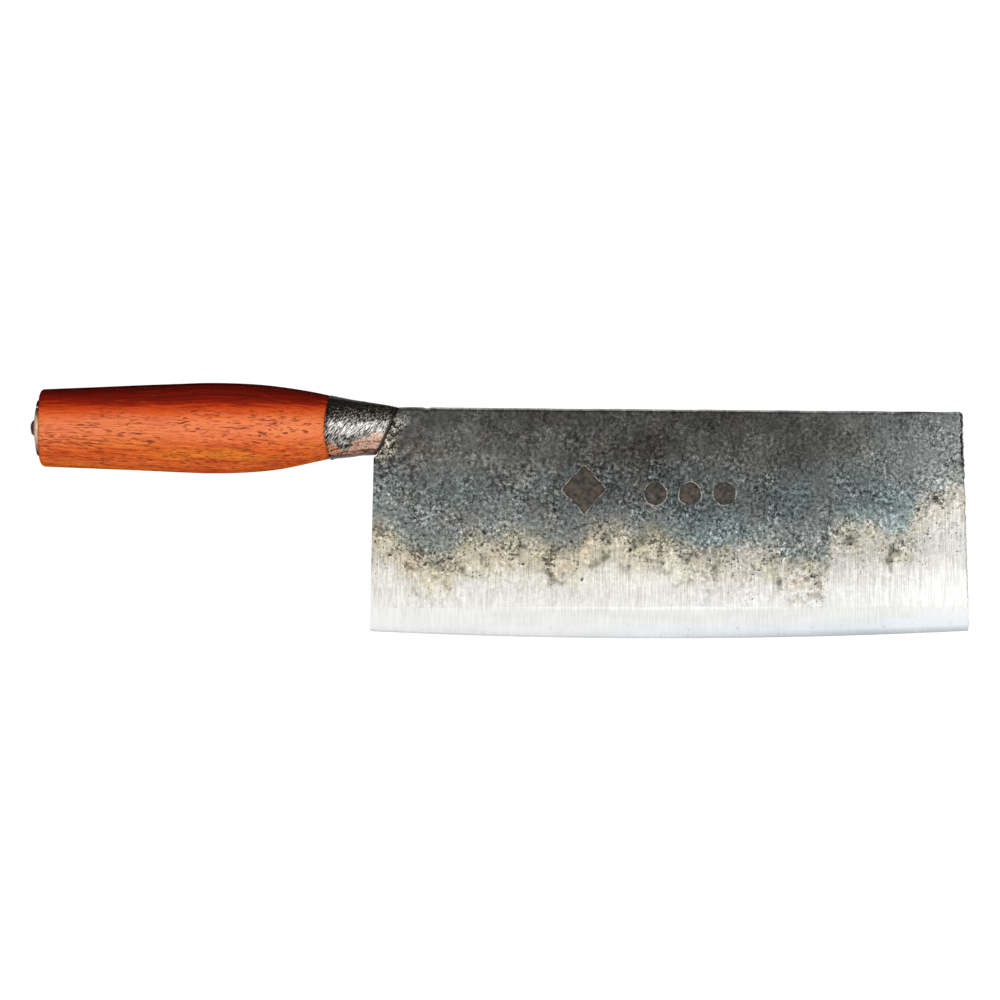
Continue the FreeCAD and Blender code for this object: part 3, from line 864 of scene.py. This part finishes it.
def cladding_finish(name, offset):
    """Forge scale with speckle and temper tints, a pitted tan fringe, then bright brushed iron."""
    f = Finish(name)
    m = cladding_maps(f, offset)
    scale = f.step(m.limit, -2.8, 2.2)
    grain = f.noise(1.3, 4, 0.78)
    contrast = grain_contrast(f, m)
    light = cladding_light(f, m, scale, grain, contrast)
    colour = iron_greys(f, border_wear_and_shade(f, m, light))
    colour = heat_tints(f, m, colour)
    crumbs = loose_crumbs(f, m)
    colour = f.mix(f.times(crumbs, 0.8), colour, srgb(60, 53, 45))
    colour = f.mix(f.step(f.field("pit"), 0.3, 0.8, 0.0, 0.85), colour, srgb(46, 40, 36))
    colour = punched_marks(f, colour)
    rough = f.shift(f.shift(0.32, m.brush, 0.14), scale, 0.18)
    metal = f.shift(0.97, scale, -0.25)
    height = f.shift(f.times(m.brush, 0.25), grain, f.times(contrast, 1.2))
    height = f.shift(height, crumbs, -0.6)
    return f.surface(colour, rough, metal, height, 0.10)


def core_finish():
    """Fine-ground hard steel with faint grind lines and a cool grey band along the very edge, painted
    shade standing for its bevel.
    """
    f = Finish("ground_core_steel")
    x, z = f.axis("X"), f.axis("Z")
    rise = f.field("rise")
    brush = f.noise(0.42, 3, 0.65, where=f.stretched(*BRUSHED))
    light = f.vary(0.968, f.noise(11, 3, where=f.stretched(0.6, 1.0, 2.2)), 0.10)
    light = f.shift(light, f.step(rise, 4.0, 9.5), -0.022)
    grind = f.step(rise, 2.5, 9.0, 0.06, 0.36)
    light = f.shift(light, f.math("SUBTRACT", brush, BRUSH_MIDDLE), grind)
    light = f.shift(light, f.step(x, 225.0, 262.0), 0.05)
    # painted shade standing for the narrow edge bevel
    bevel_shade = f.times(f.step(rise, 2.6, 0.8), f.step(x, 150.0, 245.0, 0.2, 1.0))
    light = f.shift(light, bevel_shade, -0.14)
    light = f.shift(light, f.step(rise, 0.4, 0.1), -0.06)
    scuff = f.times(f.step(f.noise(3.4, 3, 0.7), 0.60, 0.7), f.step(rise, 5.5, 3.0))
    light = f.shift(light, scuff, -0.09)
    light = f.shift(light, f.step(z, -10.0, 4.0), -0.4)
    colour = f.tones(
        light,
        (0.3, 72, 72, 72), (0.7, 178, 179, 180), (0.85, 216, 218, 219), (0.93, 239, 239, 238),
        (1.0, 254, 254, 254),
    )
    warm = f.times(f.step(rise, 1.0, 9.0), f.step(x, 225.0, 140.0, 0.3, 1.0))
    colour = f.tint(warm, colour, (1.0, 0.998, 0.965))
    # cooler grey towards the edge, part of the painted bevel band
    cool = f.times(f.step(rise, 7.0, 2.0), f.step(x, 100.0, 200.0, 0.1, 1.0))
    colour = f.tint(cool, colour, (0.935, 0.985, 1.03))
    return f.surface(colour, f.shift(0.24, brush, 0.12), 0.98, brush, 0.03)


def wood_ribbons(f, along, cloud):
    """Orange-brown ribbons and fibres, a pale painted sheen along the middle, golden below it."""
    z = f.axis("Z")
    ribbon = f.noise(3.4, 4, 0.6, where=along(0.05), warp=0.5)
    fibre = f.noise(0.62, 3, 0.65, where=along(0.05))
    tone = f.vary(0.5, ribbon, 0.9)
    tone = f.vary(tone, fibre, 0.95)
    tone = f.vary(tone, f.noise(0.26, 2, 0.6, where=along(0.07)), 0.75)
    tone = f.vary(tone, cloud, 0.5)
    # painted sheen: lighter and pinker along the middle of the barrel
    painted_sheen_band = f.band(z, -9.0, -1.0, 2.0, 8.0)
    tone = f.shift(tone, painted_sheen_band, 0.14)
    colour = f.tones(
        tone,
        (0.15, 142, 44, 6), (0.35, 198, 72, 12), (0.52, 226, 98, 26), (0.70, 238, 118, 44),
        (0.95, 246, 148, 66),
    )
    colour = f.mix(f.times(painted_sheen_band, 0.42), colour, srgb(240, 142, 104))
    gold = f.times(f.step(f.noise(5, 3, where=along(0.12)), 0.5, 0.66), 0.5)
    colour = f.mix(f.times(gold, f.step(z, -2.0, -7.0)), colour, srgb(232, 140, 40))
    return ribbon, fibre, colour


def wood_pores(f, along, colour):
    """Dark dashes along the grain in patches; round dots on the end grain."""
    end_grain = f.step(f.axis("X"), BUTT_X + 0.5, BUTT_X + 0.2)
    patchy = f.step(f.noise(8, 2, where=f.stretched(0.6, 1, 1)), 0.30, 0.55, 0.4, 1.0)
    patchy = f.times(patchy, f.shift(1.0, end_grain, -0.85))
    pores = f.times(f.step(f.noise(0.46, 1.0, 0.5, where=along(0.14)), 0.575, 0.65), patchy)
    colour = f.mix(f.times(pores, 0.6), colour, srgb(138, 44, 14))
    deep = f.times(f.step(f.noise(0.50, 1.0, 0.5, where=along(0.16)), 0.62, 0.68), patchy)
    colour = f.mix(f.times(deep, 0.8), colour, srgb(94, 31, 14))
    dots = f.times(end_grain, f.step(f.noise(0.34, 1.0, 0.5), 0.58, 0.66))
    colour = f.mix(f.times(dots, 0.6), colour, srgb(110, 36, 14))
    lines = f.noise(2.0, 2, 0.5, where=along(0.03), warp=0.8)
    line = f.times(f.near(lines, 0.54, 0.012, 0.003), 0.5)
    return pores, deep, f.mix(f.times(line, patchy), colour, srgb(112, 36, 12))


def wood_maroon_top_and_shade(f, ribbon, fibre, colour):
    """Red above the middle, then maroon towards the top, darker still where the barrel turns away on top:
    painted shade.
    """
    z = f.axis("Z")
    level = f.vary(f.vary(z, fibre, 13.0), ribbon, 5.0)
    colour = f.mix(f.times(f.step(level, 1.5, 6.5), 0.8), colour, srgb(212, 58, 2))
    glow = f.times(f.step(fibre, 0.5, 0.64), f.band(level, 2.0, 5.0, 6.5, 9.0))
    colour = f.mix(f.times(glow, 0.55), colour, srgb(252, 128, 26))
    maroon = f.mix(f.step(fibre, 0.35, 0.65), srgb(84, 2, 0), srgb(150, 18, 0))
    colour = f.mix(f.times(f.step(level, 5.5, 9.0), 0.93), colour, maroon)
    # painted shade where the barrel turns away on top
    turned_away_shade = f.times(f.grazing(0.2, 0.64), f.step(z, 6.0, 9.0))
    return f.mix(f.times(turned_away_shade, 0.6), colour, srgb(62, 2, 0))


def wood_mouth_and_butt_shade(f, fibre, colour):
    """Painted shade along the ferrule's mouth, round the washer and on the worn corner of the butt."""
    x, y, z = f.axis("X"), f.axis("Y"), f.axis("Z")
    # painted shade where the ferrule's mouth stands over the wood
    ferrule_mouth_shade = f.step(f.shift(x, fibre, 2.0), SADDLE_X - 0.6, SADDLE_X + 1.0)
    colour = f.mix(f.times(ferrule_mouth_shade, 0.5), colour, srgb(96, 24, 8))
    # painted contact shade round the butt corner and the washer
    radius = f.math("SQRT", f.shift(f.times(z, z), y, y))
    corner = f.step(radius, 11.0, 11.6)
    washer_rim = f.step(radius, 9.9, 9.3)
    butt_shade = f.times(f.math("MAXIMUM", corner, washer_rim), f.step(f.noise(0.7, 2), 0.4, 0.55))
    butt_shade = f.times(butt_shade, f.step(z, -11.0, -9.5), f.step(x, BUTT_X + 0.5, BUTT_X + 0.15))
    return f.mix(butt_shade, colour, srgb(52, 26, 14))


def wood_finish():
    """Red-brown hardwood: long ribbons of colour, dark open pores, a deep maroon upper side, painted sheen
    along the middle, painted shade at the outline.
    """
    f = Finish("oiled_red_hardwood")
    x, z = f.axis("X"), f.axis("Z")
    dive = f.times(f.step(z, 2.0, -6.0), f.times(x, 0.10))
    lifted = f.add("ShaderNodeCombineXYZ", {2: dive}).outputs[0]
    around = f.vector("NORMALIZE", f.stretched(0.0, 1.0, 1.0))
    turned = f.vector("ADD", f.stretched(1.0, 0.35, 0.35), f.vector("SCALE", around, scale=9.5))
    grain_place = f.vector("ADD", turned, lifted)

    def along(squeeze):
        return f.vector("MULTIPLY", grain_place, (squeeze, 1, 1))

    cloud = f.noise(16, 2, where=f.stretched(0.6, 1.0, 1.0))
    ribbon, fibre, colour = wood_ribbons(f, along, cloud)
    pores, deep, colour = wood_pores(f, along, colour)
    colour = wood_maroon_top_and_shade(f, ribbon, fibre, colour)
    colour = wood_mouth_and_butt_shade(f, fibre, colour)
    # painted shade at the outline, stronger towards the top
    outline = f.times(f.grazing(), f.step(z, 0.0, 8.0, 0.2, 0.7))
    colour = f.mix(outline, colour, srgb(40, 4, 0))
    rough = f.shift(f.shift(0.46, fibre, 0.16), pores, 0.25)
    height = f.shift(f.times(fibre, 0.3), pores, -1.0)
    height = f.shift(height, deep, -1.2)
    shine = f.shift(0.18, f.grazing(0.35, 0.7), -0.18)
    return f.surface(colour, rough, 0.0, height, 0.08, Specular_IOR_Level=shine)


def filed_iron_and_lit_band(f, marks, blotch, speck, lip):
    """Dark sheet with a painted highlight band round the middle, darker towards the top where scale and
    painted shade are in one.
    """
    z = f.axis("Z")
    # painted highlight round the middle; towards the top, scale and painted shade
    light = f.curve(
        z, (-9, 0.38), (-5, 0.47), (-2, 0.56), (0, 0.60), (1.8, 0.55), (3.0, 0.38), (5.5, 0.28),
        (7, 0.18), (10, 0.06),
    )
    light = f.vary(light, marks, f.curve(z, (0, 1.0), (6, 0.95), (10, 0.3)))
    light = f.vary(light, marks, f.step(z, 9.0, 3.0, 0.7, 1.6))
    light = f.vary(light, blotch, 0.35)
    light = f.vary(light, speck, 0.35)
    light = f.shift(light, lip, -0.16)
    colour = f.tones(
        light,
        (0.10, 20, 17, 14), (0.30, 58, 52, 42), (0.48, 118, 114, 104), (0.64, 190, 190, 183),
        (0.85, 240, 240, 236),
    )
    return f.tint(f.times(lip, 0.7), colour, (0.98, 0.88, 1.0))


def copper_wash(f, marks, blotch, speck, degrees, colour):
    """Copper run out of the seam over the sheet, pinker towards the nose, with dark flux on it."""
    x = f.axis("X")
    ragged = f.vary(f.vary(degrees, blotch, 34.0), speck, 14.0)
    reach = f.curve(
        x, (46, 0.34), (48.5, 0.26), (51.5, 0.30), (53.5, 0.5), (55, 0.5), (57, 0.27), (62, 0.19),
        (68, 0.12),
    )
    wash = f.times(f.step(f.shift(ragged, reach, -100.0), -2.0, 5.0), f.step(degrees, 70.0, 62.0))
    pinker = f.step(x, 53.0, 58.0)
    deep_copper = f.mix(pinker, srgb(186, 98, 62), srgb(204, 126, 94))
    pale_copper = f.mix(pinker, srgb(252, 184, 136), srgb(255, 222, 200))
    copper_tone = f.vary(f.vary(0.68, speck, 4.5), marks, 1.2)
    copper = f.mix(copper_tone, deep_copper, pale_copper)
    dirt = f.noise(0.7, 2, 0.7, where=f.stretched(0.6, 1.0, 1.0))
    stained = f.times(f.step(dirt, 0.54, 0.62), f.step(degrees, 22.0, 44.0, 0.35, 1.0))
    copper = f.mix(f.times(stained, 0.8), copper, srgb(74, 46, 30))
    return f.mix(f.times(wash, 0.93), colour, copper)


def seam_shadows(f, speck, lip, degrees, colour):
    """Painted shadow lines above the copper and along the fold below it, and mottled purple-grey
    underneath.
    """
    x, y, z = f.axis("X"), f.axis("Y"), f.axis("Z")
    seen_side = f.step(y, 0.5, -0.5)
    wavy = f.vary(z, f.noise(1.6, 2), 1.3)
    broken = f.step(f.noise(0.8, 2, 0.6), 0.40, 0.52)
    depth = f.curve(x, (47, 0.86), (54, 0.62), (61, 0.44), (68, 0.44))
    # painted shadow line above the copper
    joint_shadow = f.near(wavy, f.times(depth, -10.0), 0.30, 0.12)
    joint_shadow = f.times(joint_shadow, broken, seen_side)
    colour = f.mix(f.times(joint_shadow, 0.85), colour, srgb(52, 32, 24))
    depth = f.curve(x, (47, 0.88), (53, 0.84), (59, 0.73), (66, 0.69))
    past_fold = f.math("SUBTRACT", wavy, f.times(depth, -10.0))
    colour = f.mix(f.times(lip, f.step(z, -5.0, -8.0, 0.0, 0.7)), colour, srgb(66, 42, 48))
    under = f.times(f.step(past_fold, -0.2, -0.7), f.step(degrees, 150.0, 110.0))
    purple = f.mix(speck, srgb(52, 34, 36), srgb(146, 120, 120))
    colour = f.mix(f.times(under, 0.85), colour, purple)
    # painted shadow along the fold
    fold = f.times(f.band(past_fold, -1.5, -0.9, -0.05, 0.25), seen_side)
    return f.mix(f.times(fold, 0.8), colour, srgb(50, 26, 26))


def ferrule_finish():
    """Dark scaled sheet with a painted highlight band, file marks rising on the slant, copper washed out
    of the seam, painted shadow at the nose.
    """
    f = Finish("filed_ferrule_iron")
    x, y, z = f.axis("X"), f.axis("Y"), f.axis("Z")
    turn = {0: f.place, "Angle": FILE_ANGLE}
    slant = f.add("ShaderNodeVectorRotate", turn, rotation_type="Y_AXIS").outputs[0]
    marks = f.noise(0.31, 2, 0.65, where=f.vector("MULTIPLY", slant, (0.15, 0.6, 1.0)))
    blotch = f.noise(2.2, 3, 0.6)
    speck = f.noise(0.6, 2, 0.7)
    lip = f.step(f.vary(x, blotch, 2.5), SADDLE_X + 0.4, SADDLE_X - 1.2)
    below_side = f.math("ARCTAN2", f.times(z, -1.0), f.times(y, -1.0))
    degrees = f.times(below_side, 180 / math.pi)
    colour = filed_iron_and_lit_band(f, marks, blotch, speck, lip)
    colour = copper_wash(f, marks, blotch, speck, degrees, colour)
    colour = seam_shadows(f, speck, lip, degrees, colour)
    # painted shadow along the slanted nose, where the ferrule stands proud of the blade
    nose_x = BIAS_X - BIAS_LEAN * SPINE_Z
    nose_shadow = f.step(f.shift(x, z, -BIAS_LEAN), nose_x - 0.9, nose_x - 0.3)
    colour = f.mix(f.times(nose_shadow, 0.75), colour, srgb(22, 18, 16))
    rough = f.shift(f.step(z, 1.0, 9.0, 0.26, 0.5), marks, 0.25)
    outline = f.times(f.grazing(), f.step(z, 0.0, 5.0))
    metal = f.times(f.step(z, 2.0, 9.0, 0.95, 0.55), f.math("SUBTRACT", 1.0, outline))
    height = f.shift(marks, speck, 0.5)
    shine = f.shift(0.5, outline, -0.5)
    return f.surface(colour, rough, metal, height, 0.15, Specular_IOR_Level=shine)


def copper_finish(name, blackening):
    """Dull copper with dark flux left in its hollows; soot is how much is burnt black."""
    f = Finish(name)
    lumps = f.noise(0.9, 3, 0.65)
    colour = f.tones(
        lumps,
        (0.3, 62, 40, 34), (0.45, 152, 92, 66), (0.6, 214, 146, 114), (0.8, 238, 186, 160),
    )
    flux = f.step(f.noise(2.6, 3), 0.64 - blackening, 0.76 - blackening)
    colour = f.mix(f.times(flux, 0.9), colour, srgb(36, 28, 26))
    rough = f.shift(0.38, flux, 0.3)
    metal = f.shift(0.85, flux, -0.6)
    return f.surface(colour, rough, metal, lumps, 0.25)


def washer_finish():
    """Brown-black sheet; a warm pinkish band over the dome, worn metal and painted highlight in one; a
    cream rim; a painted white highlight at the nick.
    """
    f = Finish("washer_iron_worn_and_highlit")
    x, z = f.axis("X"), f.axis("Z")
    patch = f.noise(3.0, 4, 0.6)
    fine = f.noise(0.6, 3, 0.7)
    # pinkish band across the middle: worn metal and a painted highlight in one
    low = f.step(f.shift(z, patch, 5.0), -7.0, -2.0)
    worn = f.times(low, f.step(f.shift(z, patch, -5.0), 4.5, 0.5))
    rim = f.times(f.step(x, BUTT_X - 1.05, BUTT_X - 0.85), f.band(z, -6.0, -3.0, 3.0, 5.0))
    # painted white highlight along the nick
    nick = f.times(f.near(z, 6.9, 0.32, 0.18), 0.9, f.step(f.axis("Y"), 1.0, -1.0))
    black = f.mix(fine, srgb(20, 15, 13), srgb(74, 58, 48))
    bare = f.mix(fine, srgb(168, 122, 108), srgb(238, 188, 172))
    colour = f.mix(f.times(worn, 0.9), black, bare)
    colour = f.mix(f.times(rim, 0.6), colour, srgb(246, 222, 180))
    colour = f.mix(nick, colour, srgb(255, 246, 242))
    rough = f.shift(0.55, worn, -0.15)
    metal = f.shift(0.75, nick, -0.75)
    return f.surface(colour, rough, metal, f.shift(patch, fine, 0.4), 0.15)


def tang_finish():
    """Black forged bar; the peened head is dark with bare hammer facets."""
    f = Finish("forged_tang_iron")
    facets = f.cells(1.1)
    scale = f.noise(0.8, 3, 0.6)
    colour = f.tones(scale, (0.3, 30, 17, 15), (0.55, 84, 46, 40), (0.8, 158, 116, 104))
    colour = f.mix(f.step(facets, 0.25, 0.1, 0.0, 0.4), colour, srgb(164, 140, 132))
    return f.surface(colour, 0.48, 0.8, f.shift(scale, facets, -1.0), 0.2)


def bedding_finish():
    """Dark cast resin with small bubbles."""
    f = Finish("dark_bedding_resin")
    bubbles = f.step(f.cells(1.3), 0.22, 0.12)
    colour = f.mix(f.noise(4, 3), srgb(48, 32, 24), srgb(84, 58, 42))
    colour = f.mix(f.times(bubbles, 0.6), colour, srgb(24, 16, 12))
    return f.surface(colour, 0.42, 0.0, f.times(bubbles, -1.0), 0.2)


# ---------------------------------------------------------------- the pieces

front_iron = cladding_finish("scaled_iron_marked_side", 0.0)
back_iron = cladding_finish("scaled_iron_plain_side", 70.0)
seam_copper = copper_finish("brazed_copper", 0.12)
burnt_copper = copper_finish("burnt_copper", 0.34)

place(
    make_face("face_right", -1, 101, SCALE_LINE, True),
    front_iron,
    "scaled_iron",
    "blade_cladding_right",
)
place(
    make_face("face_left", 1, 202, SCALE_LINE_BACK, False),
    back_iron,
    "scaled_iron",
    "blade_cladding_left",
)
place(make_core(), core_finish(), "hard_steel", "blade_core")
place(make_ferrule(), ferrule_finish(), "ferrule_iron", "ferrule")
place(make_seam_bead(), seam_copper, "copper_braze", "ferrule_seam_braze")
place(make_neck_fill(), burnt_copper, "copper_braze", "neck_braze")
place(make_grip(), wood_finish(), "handle_wood", "handle_grip")
place(make_washer(), washer_finish(), "washer_iron", "butt_washer")

for node, finish in (("tang", tang_finish()), ("tang_bedding", bedding_finish())):
    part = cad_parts[node]
    part.data.materials.clear()
    part.data.materials.append(finish)

# hammer facets on the peened head; the node's own mesh stays as it is
facet_map = bpy.data.textures.new("peen_facets", "VORONOI")
facet_map.noise_scale = 0.9 * MM
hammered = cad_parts["tang"].modifiers.new("peening", "DISPLACE")
hammered.texture = facet_map
hammered.texture_coords = "LOCAL"
hammered.strength = 0.25 * MM
hammered.mid_level = 0.5


# ---------------------------------------------------------------- floor, light, camera

WHITE = (1.0, 1.0, 1.0, 1.0)


def make_floor():
    gap = 0.0003
    middle = (0.1, 0, EDGE_LOW_Z * MM - gap)
    bpy.ops.mesh.primitive_circle_add(vertices=96, radius=12.0, fill_type="NGON", location=middle)
    floor = bpy.context.object
    floor.name = "floor"
    f = Finish("pale_floor")
    seen = f.add("ShaderNodeLightPath").outputs["Is Camera Ray"]
    y = f.axis("Y")
    # the floor glows: white to the camera, and it lights the object from below, most in front
    felt = f.math("ADD", f.step(y, -60.0, -500.0, 0.55, 1.28), f.step(y, 60.0, 900.0, 0.0, 0.35))
    glow = f.math("MAXIMUM", felt, f.times(seen, 0.95))
    f.surface((0.35, 0.35, 0.35, 1.0), 0.9, 0.0, Emission_Color=WHITE, Emission_Strength=glow)
    f.put(f.bsdf.inputs["Specular IOR Level"], 0.0)
    floor.data.materials.append(f.material)


def make_world():
    """White to the camera; to the object, bright round the horizon and dark overhead."""
    world = bpy.data.worlds.new("studio")
    bpy.context.scene.world = world
    w = Nodes(world)
    out = w.add("ShaderNodeOutputWorld")
    coords = w.add("ShaderNodeTexCoord").outputs["Generated"]
    split = w.add("ShaderNodeSeparateXYZ", {0: coords}).outputs
    fade = w.step(split["Z"], 0.2, 0.85, 1.28, 0.06)
    facing = w.step(split["Y"], -0.35, 0.65, 1.0, 0.35)
    felt = w.add("ShaderNodeBackground", {"Strength": w.times(fade, facing)})
    seen = w.add("ShaderNodeBackground", {"Color": WHITE, "Strength": 1.05})
    ray = w.add("ShaderNodeLightPath").outputs["Is Camera Ray"]
    pick = w.add("ShaderNodeMixShader", {0: ray, 1: felt.outputs[0], 2: seen.outputs[0]})
    w.put(out.inputs[0], pick.outputs[0])


def add_softbox(name, where, target, size, power):
    lamp = bpy.data.lights.new(name, "AREA")
    lamp.shape = "RECTANGLE"
    lamp.size, lamp.size_y = size
    lamp.energy = power
    obj = bpy.data.objects.new(name, lamp)
    bpy.context.scene.collection.objects.link(obj)
    obj.location = where
    direction = np.array(target) - np.array(where)
    obj.rotation_euler = (
        math.atan2(math.hypot(direction[0], direction[1]), -direction[2]),
        0,
        math.atan2(-direction[0], direction[1]),
    )
    obj.visible_camera = False


def make_camera():
    """Long lens square to the marked face, framed with the cleaver a little above the middle."""
    camera = bpy.data.objects.new("camera", bpy.data.cameras.new("camera"))
    bpy.context.scene.collection.objects.link(camera)
    distance, frame_width, sensor = 2.0, 0.335, 36
    aim_x, aim_z = 0.1059, -0.0241
    camera.location = (aim_x, -distance, aim_z)
    camera.rotation_euler = (math.pi / 2, 0, 0)
    camera.data.sensor_width = sensor
    camera.data.lens = sensor * distance / frame_width
    camera.data.clip_end = 50
    bpy.context.scene.camera = camera


make_floor()
make_world()
add_softbox("front_softbox", (0.05, -1.3, 0.42), (0.05, 0, 0), (1.2, 0.3), 5.5)
add_softbox("back_softbox", (0.2, 1.3, 0.5), (0.1, 0, 0), (1.2, 0.4), 5.0)
make_camera()
bpy.context.scene.view_settings.view_transform = "Standard"
